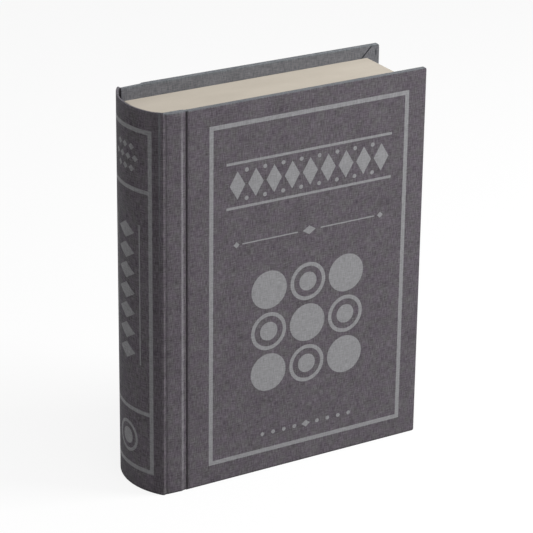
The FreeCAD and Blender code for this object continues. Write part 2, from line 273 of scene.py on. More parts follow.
def new_points(made):
    """The points among what an extrusion made."""
    return [part for part in made["geom"] if isinstance(part, bmesh.types.BMVert)]


def raise_outline(points, height):
    """A closed plan outline at z = 0, carried straight up to height."""
    shape = bmesh.new()
    base = shape.faces.new([shape.verts.new((x, y, 0)) for x, y in points])
    risen = new_points(bmesh.ops.extrude_face_region(shape, geom=[base]))
    bmesh.ops.translate(shape, vec=(0, 0, height), verts=risen)
    bmesh.ops.recalc_face_normals(shape, faces=shape.faces)
    return shape


def thicken(shape, near, far):
    """Turns a flat drawing at y = 0 into a plate that reaches from one y to another."""
    moved = new_points(bmesh.ops.extrude_face_region(shape, geom=shape.faces))
    bmesh.ops.translate(shape, vec=(0, near, 0), verts=shape.verts)
    bmesh.ops.translate(shape, vec=(0, far - near, 0), verts=moved)
    bmesh.ops.recalc_face_normals(shape, faces=shape.faces)


def cut_through(shape, point, normal):
    """Adds a row of points where a plane passes through the whole shape."""
    everything = shape.verts[:] + shape.edges[:] + shape.faces[:]
    bmesh.ops.bisect_plane(shape, geom=everything, plane_co=point, plane_no=normal)


def arc_points(centre, radius, first, last, steps):
    """Points on a circle from one angle to another, both in degrees."""
    angles = [math.radians(first + (last - first) * i / steps) for i in range(steps + 1)]
    return [(centre[0] + radius * math.cos(a), centre[1] + radius * math.sin(a)) for a in angles]


def lay_flat(co, normal):
    """Along and up on the side that a face looks to most."""
    away = [abs(part) for part in normal]
    if away[1] >= max(away[0], away[2]):
        return co.x, co.z
    return (co.y, co.z) if away[0] >= away[2] else (co.x, co.y)


def lay_cloth(shape, lay=lay_flat):
    """Writes the piece's own map, in metres, which the weave follows."""
    shape.normal_update()
    laid = shape.loops.layers.uv.new("laid")
    for face in shape.faces:
        for loop in face.loops:
            along, up = lay(loop.vert.co, face.normal)
            loop[laid].uv = (along * MM, up * MM)


def make_piece(name, shape, body, finishes, stands_for=(), smooth=True):
    """Turns a shape into a named piece on a body. With body None the caller attaches it, or leaves it on no
    body.

    stands_for names the solids that it takes the place of.
    """
    if stands_for:
        name = f"{name}_visual"
    bmesh.ops.scale(shape, vec=(MM, MM, MM), verts=shape.verts)
    for face in shape.faces:
        face.smooth = smooth
    mesh = bpy.data.meshes.new(name)
    shape.to_mesh(mesh)
    shape.free()
    mesh.set_sharp_from_angle(angle=math.radians(SHARP_ANGLE))
    for finish in finishes:
        mesh.materials.append(finish)
    piece = bpy.data.objects.new(name, mesh)
    bpy.context.scene.collection.objects.link(piece)
    if body:
        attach(piece, body)
    if stands_for:
        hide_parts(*stands_for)
    return piece


def dress(finish, *nodes):
    """Gives solids that stay as they are a better finish."""
    for name in nodes:
        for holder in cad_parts[name].material_slots:
            holder.material = finish


# Cloth and foil

THREAD_PITCH = 0.52         # from one thread of the book cloth to the next
SLUB_WIDTH = 0.5            # a slub is a thicker stretch of a thread
SLUB_LENGTH = 4.5
PATCH = 14.0                # size of the lighter and darker patches
TINT_PATCH = 6.0            # and of the patches of plum and slate
RIDGE_X = GROOVE_LEFT - 2.5     # the ridge where a joint strip slopes into its groove
# PINCH_IN and PINCH_DOWN place the painted shade of the pinched fold.
PINCH_IN = 2.7              # the pinched fold's place at a cover's fore corner, from the fore edge
PINCH_DOWN = 4.6            # and from the head or tail


def threads(finish, along, up):
    """Slubs that run up the cloth, slubs that run across it, and the over and under of the weave.

    The last number of each point keeps the patterns apart.
    """
    upright = finish.noise(finish.point(along / SLUB_WIDTH, up / SLUB_LENGTH, 0.0))
    across = finish.noise(finish.point(along / SLUB_LENGTH, up / SLUB_WIDTH, 40.0))
    crossing = along.wave(THREAD_PITCH) * up.wave(THREAD_PITCH)
    return upright, across, crossing


def weave_height(upright, across, crossing):
    return upright * 0.6 + across * 0.6 + crossing * 0.3


def book_cloth():
    """Fine linen book cloth, charcoal grey."""
    finish = Finish("book_cloth", {"Specular IOR Level": 0.12, "Sheen Weight": 0.1,
                                   "Sheen Roughness": 0.35, "Sheen Tint": (0.86, 1.0, 1.0, 1.0)})
    along, up = finish.laid()
    x, y, z = finish.place()
    upright, across, crossing = threads(finish, along, up)
    patch = finish.noise(finish.point(along / PATCH, up / PATCH, 80.0), 3.0)
    level = (upright - 0.5) * 1.7 + (across - 0.5) * 1.5 + crossing * 0.14 + (patch - 0.5) * 0.5 + 0.5
    tint = finish.noise(finish.point(along / TINT_PATCH, up / TINT_PATCH, 120.0)).spread(0.4, 0.65)
    plum = finish.mix(level, tone(72, 66, 73), tone(115, 108, 116))
    slate = finish.mix(level, tone(73, 69, 72), tone(114, 111, 114))
    colour = finish.mix(tint, plum, slate)
    # Painted shade on the stretch of the back just before the front shoulder.
    shoulder_shade = finish.mix(level, tone(60, 55, 60), tone(94, 88, 95))
    colour = finish.mix(beside_the_shoulder(x, y), colour, shoulder_shade)
    turned_in = finish.mix(level, tone(86, 87, 90), tone(125, 125, 130))
    # Painted shade in the gaps between the folded flaps and in the pinched fold at each fore corner.
    turned_in = finish.mix(flap_gaps(x, z), turned_in, tone(52, 53, 57))
    colour = finish.mix(behind_the_covers(x, y), colour, turned_in)
    # Painted highlight along the head and fore edges.
    edge_highlight_tone = finish.mix(level, tone(85, 90, 93), tone(121, 125, 129))
    colour = finish.mix(rubbed_edges(x, z), colour, edge_highlight_tone)
    # Painted shade along the tail edge.
    foot_shade_tone = finish.mix(level, tone(44, 42, 44), tone(76, 73, 76))
    colour = finish.mix(soiled_foot(z), colour, foot_shade_tone)
    # Painted highlight along the ridges where the strips slope into the grooves.
    ridge_highlight_tone = finish.mix(level, tone(118, 116, 120), tone(158, 156, 160))
    colour = finish.mix(worn_ridges(x, y, z), colour, ridge_highlight_tone)
    return finish.surface(colour, 0.9 - level * 0.12, weave_height(upright, across, crossing), 0.09)


def beside_the_shoulder(x, y):
    """Painted shade: most on the stretch of the back that lies just before its front shoulder."""
    past_the_round = x.spread(STRIP_LEFT - 7.7, STRIP_LEFT - 5.7)
    before_the_strip = x.spread(STRIP_LEFT - 2.8, STRIP_LEFT - 3.5)
    at_the_front = y.spread(FRONT_FACE + 8.5, FRONT_FACE + 6.5)
    return past_the_round * before_the_strip * at_the_front * 0.55


def behind_the_covers(x, y):
    """1 where the cloth is folded in and faces the pages: there it is lighter and cooler."""
    looks_in = y.size().spread(INNER_FACE + 1.2, INNER_FACE + 0.8)
    return looks_in * x.spread(STRIP_LEFT - 4.1, STRIP_LEFT - 3.3)


def flap_gaps(x, z):
    """Painted shade: most in the slanting gaps between the folded flaps, and in the pinched fold at each
    fore corner.
    """
    from_end = MID_HEIGHT - (z - MID_HEIGHT).size()
    from_fore_edge = FORE_EDGE - x
    past_the_slant = from_fore_edge - from_end - (MITRE_IN - FLAP_END)
    slant = (past_the_slant - 0.45).size().spread(0.65, 0.35) * from_fore_edge.spread(FLAP, FLAP - 0.5)
    pinch_across = (from_fore_edge - PINCH_IN).size().spread(0.8, 0.3)
    pinch_along = (from_end - PINCH_DOWN).size().spread(2.6, 1.4)
    return slant * 0.85 + pinch_across * pinch_along * 0.8


def rubbed_edges(x, z):
    """Painted highlight: most on the head and fore edges of the covers."""
    head = z.spread(CASE_HEIGHT - 0.9, CASE_HEIGHT - 0.2)
    fore = x.spread(FORE_EDGE - 0.6, FORE_EDGE - 0.1)
    past_the_back = x.spread(STRIP_LEFT - 2.5, STRIP_LEFT - 0.5) * 0.8 + 0.2
    return head * past_the_back * 0.7 + fore * 0.5


def soiled_foot(z):
    """Painted shade: most along the tail edge, which the case stands on."""
    return z.spread(1.4, 0.4) * 0.8


def worn_ridges(x, y, z):
    """Painted highlight: most along the ridges where the strips slope into the grooves, less at the head and
    tail.
    """
    on_the_ridge = (x - RIDGE_X).size().spread(1.1, 0.4)
    on_the_outside = y.size().spread(HALF_DEPTH - 2, HALF_DEPTH - 1)
    below_the_head = z.spread(CASE_HEIGHT - 2, CASE_HEIGHT - 30) * 0.7 + 0.3
    above_the_tail = z.spread(1, 25) * 0.6 + 0.4
    return on_the_ridge * on_the_outside * below_the_head * above_the_tail * 0.55


def foil_print():
    """Dull grey foil pressed into the cloth, wearing thin on the hollows of the weave, and darker on the
    back.
    """
    finish = Finish("foil_print", {"Specular IOR Level": 0.28})
    along, up = finish.laid()
    x = finish.place()[0]
    upright, across, crossing = threads(finish, along, up)
    on_the_back = x.spread(STRIP_LEFT - 1.9, STRIP_LEFT - 3.9)
    level = (upright - 0.5) * 1.2 + (across - 0.5) * 1.2 + crossing * 0.1 + 0.62 - on_the_back * 0.36
    colour = finish.mix(level, tone(113, 112, 115), tone(154, 154, 156))
    return finish.surface(colour, 0.62 - level * 0.15, weave_height(upright, across, crossing), 0.06)


# Paper, board and lining

def page_paper():
    """Smooth cream paper round the block."""
    finish = Finish("page_paper", {"Specular IOR Level": 0.1})
    fibre = finish.grain((1.2, 0.5, 1.2), 4.0)
    cloud = finish.grain((28.0, 12.0, 28.0), 3.0)
    level = (fibre - 0.5) * 0.5 + (cloud - 0.5) * 0.9 + 0.5
    colour = finish.mix(level, tone(171, 163, 151), tone(186, 178, 166))
    return finish.surface(colour, 0.72 + fibre * 0.15, fibre, 0.02)


def plain_paper(name, dark, light):
    """Uncoated paper with short fibres and faint laid lines."""
    finish = Finish(name, {"Specular IOR Level": 0.2})
    fibre = finish.grain((0.9, 0.9, 0.35), 5.0)
    line = finish.place()[2].wave(1.4)
    level = (fibre - 0.5) * 1.1 + line * 0.06 + 0.5
    colour = finish.mix(level, dark, light)
    return finish.surface(colour, 0.85 + fibre * 0.1, fibre + line * 0.1, 0.03)


def grey_board():
    """Raw binder's board, flecked with waste fibres."""
    finish = Finish("grey_board", {"Specular IOR Level": 0.15})
    fibre = finish.grain((0.8, 0.8, 0.8), 5.0, 0.7)
    fleck = finish.grain((2.2, 2.2, 2.2), 1.0).over(0.68)
    colour = finish.mix(fibre, tone(118, 112, 104), tone(184, 177, 166))
    colour = finish.mix(fleck * 0.4, colour, tone(84, 80, 78))
    return finish.surface(colour, 0.95 - fibre * 0.08, fibre, 0.08)


def lined_board():
    """Tray board covered in a dark, lightly embossed paper."""
    finish = Finish("lined_board", {"Specular IOR Level": 0.3})
    emboss = finish.grain((0.7, 0.7, 0.7))
    cloud = finish.grain((18.0, 18.0, 18.0))
    level = (emboss - 0.5) * 1.4 + (cloud - 0.5) * 0.6 + 0.5
    colour = finish.mix(level, tone(40, 38, 41), tone(66, 63, 66))
    return finish.surface(colour, 0.62 + emboss * 0.2, emboss, 0.06)


def flock():
    """Short black flock on the foam insert."""
    finish = Finish("flock", {"Specular IOR Level": 0.1, "Sheen Weight": 0.35, "Sheen Roughness": 0.45})
    tuft = finish.grain((0.45, 0.45, 0.45), 3.0, 0.7)
    brushed = finish.grain((13.0, 13.0, 6.0))
    level = (tuft - 0.5) * 1.3 + (brushed - 0.5) * 0.9 + 0.5
    colour = finish.mix(level, tone(24, 24, 27), tone(54, 53, 58))
    return finish.surface(colour, 0.93 + tuft * 0.05, tuft, 0.18)


def woven_tape():
    """Black cotton tape across the board's fold."""
    finish = Finish("woven_tape", {"Specular IOR Level": 0.2, "Sheen Weight": 0.1})
    x, y, z = finish.place()
    rib = z.wave(0.7) * x.wave(0.45)
    slub = finish.grain((0.5, 0.5, 6.0))
    level = rib * 0.3 + (slub - 0.5) + 0.5
    colour = finish.mix(level, tone(36, 35, 37), tone(70, 68, 70))
    return finish.surface(colour, 0.85 + slub * 0.1, level, 0.08)


CLOTH = book_cloth()
FOIL = foil_print()
PAGES = page_paper()
LINING = plain_paper("lining_paper", tone(186, 179, 165), tone(205, 199, 187))
LEAFLET = plain_paper("leaflet_paper", tone(214, 210, 201), tone(231, 228, 221))
BINDER_BOARD = grey_board()
TRAY_BOARD = lined_board()
FLOCK = flock()
TAPE = woven_tape()


# Covers: cloth drawn over a board, with rounded edges and folded-in flaps

COVER_CORNER = 1.4          # rounding of the corners at the fore edge
GROOVE_CORNER = 1.0         # and of those at the groove
COVER_EDGE = 0.6            # rounding along the edges
COVER_HEM = 0.5             # border beside a rounded edge
COVER_AREA = 10000          # a cover's two faces are larger than this, in square millimetres
PANEL_AREA = 1000           # parts of the inner face smaller than this aren't cut further
GROOVE_BULGE = 1.2          # how far the cloth rounds out from a cover into its groove
WINDOW_MARGIN = 1.5         # from the cloth's end at the groove to the sunk part of the inside
FLAP_STEP = 0.3             # the fore edge flap lies this much over the head and tail flaps
FLAP_ROOT = 0.1             # how deep its underside is let into the cover
FLAP_CORNER = 1.2           # cut off its two outer corners
# How much higher the back half's head edge stands, at three places in x: near the end of the
# strip, at the cover's edge in the groove, and at the fore edge.
HEAD_LIFTS = [(GROOVE_LEFT - 2, 0.35), (GROOVE_RIGHT - GROOVE_BULGE, 1.0), (FORE_EDGE, 0.3)]


def cover_cloth(name, body, low, high, inside):
    """inside is the sign of y on the side that faces the pages."""
    low, high = low.copy(), high.copy()
    low.x -= GROOVE_BULGE
    if inside > 0:
        high.y -= FLAP_STEP
    else:
        low.y += FLAP_STEP
    shape = rounded_slab(low, high, (GROOVE_CORNER, COVER_CORNER), COVER_EDGE, 5)
    hem_faces(shape, COVER_AREA, COVER_HEM)
    sink_window(shape, low, high, inside)
    add_fore_flap(shape, low, high, inside)
    lift_head(shape)
    lay_cloth(shape)
    return make_piece(name, shape, body, [CLOTH], [name])


def inner_panels(shape, inside):
    """The large flat faces on a cover's inside."""
    return [f for f in large_faces(shape, PANEL_AREA) if f.normal.y * inside > 0.9]


def sink_window(shape, low, high, inside):
    """Inside the folded flaps the face lies lower, by the thickness of the cloth."""
    sides = [((high.x - FLAP, 0, 0), (1, 0, 0)), ((low.x + WINDOW_MARGIN, 0, 0), (1, 0, 0)),
             ((0, 0, low.z + FLAP), (0, 0, 1)), ((0, 0, high.z - FLAP), (0, 0, 1))]
    for point, normal in sides:
        flat = inner_panels(shape, inside)
        around = list({e for f in flat for e in f.edges} | {v for f in flat for v in f.verts})
        bmesh.ops.bisect_plane(shape, geom=flat + around, plane_co=point, plane_no=normal)
    window = max(inner_panels(shape, inside), key=lambda f: f.calc_area())
    sunk = bmesh.ops.extrude_discrete_faces(shape, faces=[window])["faces"][0]
    bmesh.ops.translate(shape, vec=(0, -inside * CLOTH_THICK, 0), verts=sunk.verts)


def add_fore_flap(shape, low, high, inside):
    """The fore edge flap, folded last, with its two ends cut at a slant over the other flaps."""
    outer = high.x - COVER_EDGE * 0.6
    inner = high.x - FLAP
    tip = high.x - MITRE_IN
    foot, head = low.z + FLAP_END, high.z - FLAP_END
    slant = tip - inner
    outline = [(outer, foot + FLAP_CORNER), (outer, head - FLAP_CORNER), (outer - FLAP_CORNER, head),
               (tip, head), (inner, head - slant),
               (inner, foot + slant), (tip, foot), (outer - FLAP_CORNER, foot)]
    face = high.y if inside > 0 else low.y
    under = face - inside * FLAP_ROOT
    base = shape.faces.new([shape.verts.new((x, under, z)) for x, z in outline])
    risen = new_points(bmesh.ops.extrude_face_region(shape, geom=[base]))
    bmesh.ops.translate(shape, vec=(0, inside * (FLAP_STEP + FLAP_ROOT), 0), verts=risen)
    flap = [f for f in shape.faces if any(v in risen for v in f.verts)] + [base]
    bmesh.ops.recalc_face_normals(shape, faces=flap)


def lift_head(shape):
    """The back half is bound a little askew: its head edge stands higher than the front's."""
    for vert in shape.verts:
        if vert.co.z > MID_HEIGHT and vert.co.y > 0:
            vert.co.z += head_lift(vert.co.x) * min(1, vert.co.y / BLOCK_HIGH.y)


def head_lift(x):
    """Straight between the places in HEAD_LIFTS, and held beyond them."""
    for (left, low), (right, high) in zip(HEAD_LIFTS, HEAD_LIFTS[1:]):
        if x <= right:
            return low + (high - low) * max(0, (x - left) / (right - left))
    return high


cover_cloth("front_cover_cloth", "front_cover", FRONT_LOW, FRONT_HIGH, 1)
cover_cloth("back_cover_cloth", "case", BACK_LOW, BACK_HIGH, -1)


# Spine: one sleeve of cloth over the rounded card and the two joint strips

SHELL_THICK = 1.2           # spine card with its cloth on both sides
SHOULDER_RADIUS = 4.0       # rounding where the back meets the faces
SHOULDER_X = STRIP_LEFT - 0.65      # x of the middle of that rounding
SHOULDER_END = 61.0         # degrees of the shoulder's arc that stay above the valley
TANGENT = math.degrees(math.asin((HALF_DEPTH - SHOULDER_RADIUS) / (SPINE_RADIUS - SHOULDER_RADIUS)))
BAND_LEFT = STRIP_LEFT - 1.7    # how far the flat inside of a strip reaches into the back
BAND_DEPTH = 0.5            # how far below the shell that flat inside begins
VALLEY = 1.35               # how deep the valley beside the back is
VALLEY_AT_HEAD = 0.55       # and at the head, where it has run out
RIM_VALLEY = VALLEY_AT_HEAD + 0.4   # how deep it is on the rounded rims
VALLEY_SPAN = (-1.5, 0.1)   # where it lies, in x from the strip's left end
VALLEY_REACH = VALLEY + 0.6     # points deeper than this below the cover's face belong to the inside
# The joint strip's face from the shoulder to the groove: x from the strip's left end, and how deep it
# lies below the cover's face. Past its crest it slopes into the groove.
STRIP_FACE = [(-1.9, 0.62), (-1.2, 1.15), (-0.8, VALLEY), (-0.4, 1.15), (0.0, 0.75), (0.6, 0.55),
              (3.6, 0.42), (7.1, 0.2), (8.6, 0.04), (9.3, 0.02), (9.8, 0.12), (10.7, 0.5),
              (11.2, 0.58), (12.2, 0.6), (12.5, 0.8)]
SPINE_RIM = 0.5             # rounding along head and tail
RIM = 0.3                   # points this near to head or tail count as on the rim
RIM_ROW = 4.0               # a row of points this far from head and tail, where the valley runs out
HEAD_CAP = 0.8              # the rounded back stands this much above the strips at the head
CAP_END = STRIP_LEFT - 1.3  # x where that begins, rising within a millimetre
HEAD_ROUNDING = 1.3         # how far the front shoulder is drawn in at the head
HEAD_ROUNDED = (29.0, 37.5, 41.6)   # degrees round the back where that begins, is most, and ends


def half_back(inset):
    """The rounded back from its crown to the end of its shoulder, for y below zero."""
    back = arc_points((SPINE_CENTRE, 0), SPINE_RADIUS - inset, 180, 180 + TANGENT, 22)
    middle = (SHOULDER_X, SHOULDER_RADIUS - HALF_DEPTH)
    shoulder = arc_points(middle, SHOULDER_RADIUS - inset, 180 + TANGENT, 180 + SHOULDER_END, 5)
    return back + shoulder[1:]


def spine_outline():
    front_out = half_back(0) + [(STRIP_LEFT + x, FRONT_FACE + depth) for x, depth in STRIP_FACE]
    back_out = [(x, -y) for x, y in front_out]
    front_in = half_back(SHELL_THICK) + [(BAND_LEFT, FRONT_FACE + SHELL_THICK + BAND_DEPTH)]
    back_in = [(x, -y) for x, y in front_in]
    front_foot = [(BAND_LEFT, BLOCK_LOW.y), (GROOVE_LEFT, BLOCK_LOW.y)]
    back_foot = [(GROOVE_LEFT, BLOCK_HIGH.y), (BAND_LEFT, BLOCK_HIGH.y)]
    outside = list(reversed(front_out)) + back_out[1:]
    inside = back_foot + list(reversed(back_in)) + front_in[1:] + front_foot
    return outside + inside


def lay_spine(co, normal):
    """Round the back and on over the strips, and up."""
    if abs(normal.z) > 0.8:
        return co.x, co.y
    return spine_run(co.x, co.y), co.z


def spine_run(x, y):
    """How far a point lies from the crown, measured round the back."""
    if x <= SHOULDER_X:
        return SPINE_RADIUS * math.atan2(y, SPINE_CENTRE - x)
    edge = SPINE_RADIUS * math.atan2(HALF_DEPTH, SPINE_CENTRE - SHOULDER_X)
    return math.copysign(edge + x - SHOULDER_X, y)


def fill_valley(co, depth):
    """A point of a valley comes up until it lies no deeper than this."""
    left, right = VALLEY_SPAN
    on_the_outside = abs(co.y) > HALF_DEPTH - VALLEY_REACH
    if left < co.x - STRIP_LEFT < right and on_the_outside:
        co.y = math.copysign(max(abs(co.y), HALF_DEPTH - depth), co.y)


def draw_in(co):
    """Moves a point of the front shoulder towards the middle of the back."""
    on_the_flat_inside = co.x > BAND_LEFT - 0.1 and abs(co.y) < BLOCK_HIGH.y + 0.2
    if co.y > 0 or on_the_flat_inside:
        return
    begin, most, end = HEAD_ROUNDED
    angle = math.degrees(math.atan2(abs(co.y), SPINE_CENTRE - co.x))
    share = (angle - begin) / (most - begin) if angle < most else (end - angle) / (end - most)
    share = min(1, max(0, share))
    inward = Vector((SPINE_CENTRE - co.x, -co.y, 0)).normalized()
    co += inward * HEAD_ROUNDING * share * share * (3 - 2 * share)


def spine_cloth():
    shape = raise_outline(spine_outline(), CASE_HEIGHT)
    rims = [e for e in shape.edges if abs(e.verts[0].co.z - e.verts[1].co.z) < 1e-4]
    round_edges(shape, rims, SPINE_RIM, 3)
    for height in (RIM_ROW, CASE_HEIGHT - RIM_ROW):
        cut_through(shape, (0, 0, height), (0, 0, 1))
    for vert in shape.verts:
        at_head = vert.co.z > MID_HEIGHT
        on_rim = min(vert.co.z, CASE_HEIGHT - vert.co.z) < RIM
        if on_rim:
            fill_valley(vert.co, RIM_VALLEY)
        elif at_head:
            fill_valley(vert.co, VALLEY_AT_HEAD)
        if at_head:
            vert.co.z += HEAD_CAP * min(1, max(0, CAP_END - vert.co.x))
            draw_in(vert.co)
    lift_head(shape)
    lay_cloth(shape, lay_spine)
    covers = ["spine_cloth", "spine_card", "front_joint_strip", "back_joint_strip"]
    return make_piece("spine_cloth", shape, "case", [CLOTH], covers)


spine_cloth()


# Grooves: the cloth lies low between a strip and its cover, and comes up a little at head and tail

GROOVE_BED = HALF_DEPTH - 1.3   # how far from the middle of the case the cloth lies in a groove
GROOVE_TUCK = 0.15          # how far it reaches under the strip and the cover
GROOVE_END = 0.1            # and how far it stops short of head and tail
GATHER = 1.3                # the last stretch at each end, where the cloth comes up
GATHER_RISE = 1.2
GATHER_THICK = 2.9          # how much thicker the gathered cloth is at the very end
CROWDING = 0.3              # rows of points lie closer to head and tail, the more so the smaller this is


def gathered(height):
    """1 at the head and tail, falling to 0 where the gathered stretch ends."""
    return max(0.0, 1 - min(height, CASE_HEIGHT - height) / GATHER) ** 2


def groove_cloth(name, side, filled):
    """side is the sign of y on which the groove lies. A filled groove is closed on the inside too."""
    shape = bmesh.new()
    bmesh.ops.create_grid(shape, x_segments=10, y_segments=48, size=1.0)
    middle = (GROOVE_LEFT + GROOVE_RIGHT) / 2
    half = (GROOVE_RIGHT - GROOVE_LEFT) / 2 + GROOVE_TUCK
    for vert in shape.verts:
        across, up = vert.co.x, vert.co.y
        height = MID_HEIGHT + math.copysign(abs(up) ** CROWDING, up) * (MID_HEIGHT - GROOVE_END)
        depth = GROOVE_BED + gathered(height) * GATHER_RISE
        vert.co = (middle + across * half, side * depth, height)
    for vert in new_points(bmesh.ops.extrude_face_region(shape, geom=shape.faces)):
        thick = CLOTH_THICK + gathered(vert.co.z) * GATHER_THICK
        vert.co.y = side * BLOCK_HIGH.y if filled else vert.co.y - side * thick
    bmesh.ops.recalc_face_normals(shape, faces=shape.faces)
    lift_head(shape)
    lay_cloth(shape)
    return make_piece(name, shape, None, [CLOTH], [name])


front_groove = groove_cloth("front_hinge_cloth", -1, False)
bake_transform(front_groove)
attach(groove_cloth("back_hinge_cloth", 1, True), "case")


# Page block: cream paper round the head, fore edge and tail of the tray

PAPER_THICK = 0.3
PAGE_CORNER = 0.8


def page_edges():
    shape = bmesh.new()
    left, right = BLOCK_LOW.x, BLOCK_HIGH.x
    foot, head = BLOCK_LOW.z, BLOCK_HIGH.z
    path = [(left, foot), (right - PAGE_CORNER, foot)]
    path += arc_points((right - PAGE_CORNER, foot + PAGE_CORNER), PAGE_CORNER, -90, 0, 6)[1:]
    path += arc_points((right - PAGE_CORNER, head - PAGE_CORNER), PAGE_CORNER, 0, 90, 6)
    path += [(left, head)]
    verts = [shape.verts.new((x, BLOCK_LOW.y, z)) for x, z in path]
    edges = [shape.edges.new(pair) for pair in zip(verts, verts[1:])]
    moved = new_points(bmesh.ops.extrude_edge_only(shape, edges=edges))
    bmesh.ops.translate(shape, vec=(0, BLOCK_HIGH.y - BLOCK_LOW.y, 0), verts=moved)
    bmesh.ops.recalc_face_normals(shape, faces=shape.faces)
    turn_outwards(shape)
    bmesh.ops.solidify(shape, geom=shape.faces, thickness=PAPER_THICK)
    name = "page_edge_paper"
    return make_piece(name, shape, "case", [PAGES], [name], False)


def turn_outwards(shape):
    """An open shell's faces are turned together so that the outermost one looks out."""
    shape.normal_update()
    outermost = max(shape.faces, key=lambda f: f.calc_center_median().x)
    if outermost.normal.x < 0:
        bmesh.ops.reverse_faces(shape, faces=shape.faces)


page_edges()
dress(LINING, "front_lining_paper")
dress(BINDER_BOARD, "front_cover_board", "back_cover_board")
dress(TRAY_BOARD, "tray_floor", "head_wall", "tail_wall", "fore_edge_wall", "hinge_wall", "spine_wall")
dress(FLOCK, "foam_insert")
dress(LEAFLET, "rules_leaflet")


# Drawing tools for prints: flat shapes at y = 0, in x and z

def bar(shape, left, right, foot, head):
    corners = ((left, foot), (right, foot), (right, head), (left, head))
    return shape.faces.new([shape.verts.new((x, 0, z)) for x, z in corners])


def lozenge(shape, x, z, width, height):
    corners = ((x - width / 2, z), (x, z - height / 2), (x + width / 2, z), (x, z + height / 2))
    return shape.faces.new([shape.verts.new((a, 0, b)) for a, b in corners])


def disc(shape, x, z, radius):
    place = Matrix.Translation((x, 0, z)) @ Matrix.Rotation(math.radians(90), 4, "X")
    made = bmesh.ops.create_circle(shape, cap_ends=True, segments=48, radius=radius, matrix=place)
    return made["verts"][0].link_faces[0]


def hollow(shape, face, line):
    """Keeps only a line of a shape, along its edge."""
    face.normal_update()
    bmesh.ops.inset_individual(shape, faces=[face], thickness=line, use_even_offset=True)
    bmesh.ops.delete(shape, geom=[face], context="FACES_ONLY")


def ring(shape, x, z, radius, line, dot):
    """A ring round a dot."""
    hollow(shape, disc(shape, x, z, radius), line)
    disc(shape, x, z, dot)


def row_places(middle, pitch, count):
    """The middles of equal places along a row."""
    return [middle + (i - (count - 1) / 2) * pitch for i in range(count)]


# Foil print on the front: a ruled frame with plain ornament

FOIL_RISE = 0.04            # how far the foil stands above the cloth
FOIL_SINK = 0.05            # how far it is pressed in
FRAME_LINE = 2.7            # width of the frame lines
FRAME_MARGIN = 12.15        # from the tail, and from the head, to the frame
# The frame's left, right, foot and head
FRONT_FRAME = (GROOVE_RIGHT + 13.18, FORE_EDGE - 12.17, FRAME_MARGIN, CASE_HEIGHT - FRAME_MARGIN)
PRINT_MIDDLE = FORE_EDGE - 80.55    # x of the middle of the front print
DOT = 1.3                   # radius of the small dots
BAND_Z = 189.8              # the band of lozenges
BAND_PITCH = 12.4
BAND_LOZENGE = (10.4, 17.5)
BAND_DOTS = 8.8             # its dots lie this far above and below its middle
BAND_RULES = 13.8           # and its rules this far
RULE_HALF = (57.0, 0.8)     # half the length and half the thickness of a rule
DIVIDER_Z = 152.5           # the thin broken line below the band
DIVIDER_REACH = (8.0, 46.0)     # from the middle to the two ends of each half
DIVIDER_HALF = 0.4          # half its thickness
DIVIDER_END = 50.0          # from the middle to the lozenge at each end
DIVIDER_TIP = (4.0, 4.0)    # width and height of that lozenge
DIVIDER_LOZENGE = (9.0, 5.6)    # and of the one in the middle
FIELD_X = PRINT_MIDDLE - 0.3    # the field of discs and rings
FIELD_Z = 92.4
FIELD_PITCH = 27.0
FIELD_DISC = 12.2
FIELD_RING = (2.4, 6.0)     # the line of a ring, and the dot in it
FOOT_Z = 24.5               # the row at the foot
FOOT_PITCH = 7.6
FOOT_DOTS = 19.5            # from the middle to the middle of the dots at each side
FOOT_LOZENGE = (6.0, 4.6)


def front_print():
    shape = bmesh.new()
    hollow(shape, bar(shape, *FRONT_FRAME), FRAME_LINE)
    lozenge_band(shape)
    divider(shape)
    disc_field(shape)
    foot_row(shape)
    thicken(shape, FRONT_FACE - FOIL_RISE, FRONT_FACE + FOIL_SINK)
    lay_cloth(shape)
    make_piece("front_foil_print", shape, "front_cover", [FOIL], (), False)


def lozenge_band(shape):
    """A row of lozenges between two rules, with dots in the corners that they leave."""
    length, thickness = RULE_HALF
    for z in (BAND_Z + BAND_RULES, BAND_Z - BAND_RULES):
        bar(shape, PRINT_MIDDLE - length, PRINT_MIDDLE + length, z - thickness, z + thickness)
    for x in row_places(PRINT_MIDDLE, BAND_PITCH, 9):
        lozenge(shape, x, BAND_Z, *BAND_LOZENGE)
    for z in (BAND_Z + BAND_DOTS, BAND_Z - BAND_DOTS):
        for x in row_places(PRINT_MIDDLE, BAND_PITCH, 8):
            disc(shape, x, z, DOT)


def divider(shape):
    """A thin line with a lozenge in its gap and one at each end."""
    for side in (-1, 1):
        left, right = sorted(PRINT_MIDDLE + side * reach for reach in DIVIDER_REACH)
        bar(shape, left, right, DIVIDER_Z - DIVIDER_HALF, DIVIDER_Z + DIVIDER_HALF)
        lozenge(shape, PRINT_MIDDLE + side * DIVIDER_END, DIVIDER_Z, *DIVIDER_TIP)
    lozenge(shape, PRINT_MIDDLE, DIVIDER_Z, *DIVIDER_LOZENGE)


def disc_field(shape):
    """Three rows of three, discs and rings by turns."""
    for i in range(9):
        x = FIELD_X + (i % 3 - 1) * FIELD_PITCH
        z = FIELD_Z + (i // 3 - 1) * FIELD_PITCH
        if i % 2:
            ring(shape, x, z, FIELD_DISC, *FIELD_RING)
        else:
            disc(shape, x, z, FIELD_DISC)


def foot_row(shape):
    """Four dots on each side of a lozenge."""
    for side in (-1, 1):
        for x in row_places(PRINT_MIDDLE + side * FOOT_DOTS, FOOT_PITCH, 4):
            disc(shape, x, FOOT_Z, DOT)
    lozenge(shape, PRINT_MIDDLE, FOOT_Z, *FOOT_LOZENGE)


# Foil print on the spine: drawn flat, with x running round the back from its crown, then bent onto it

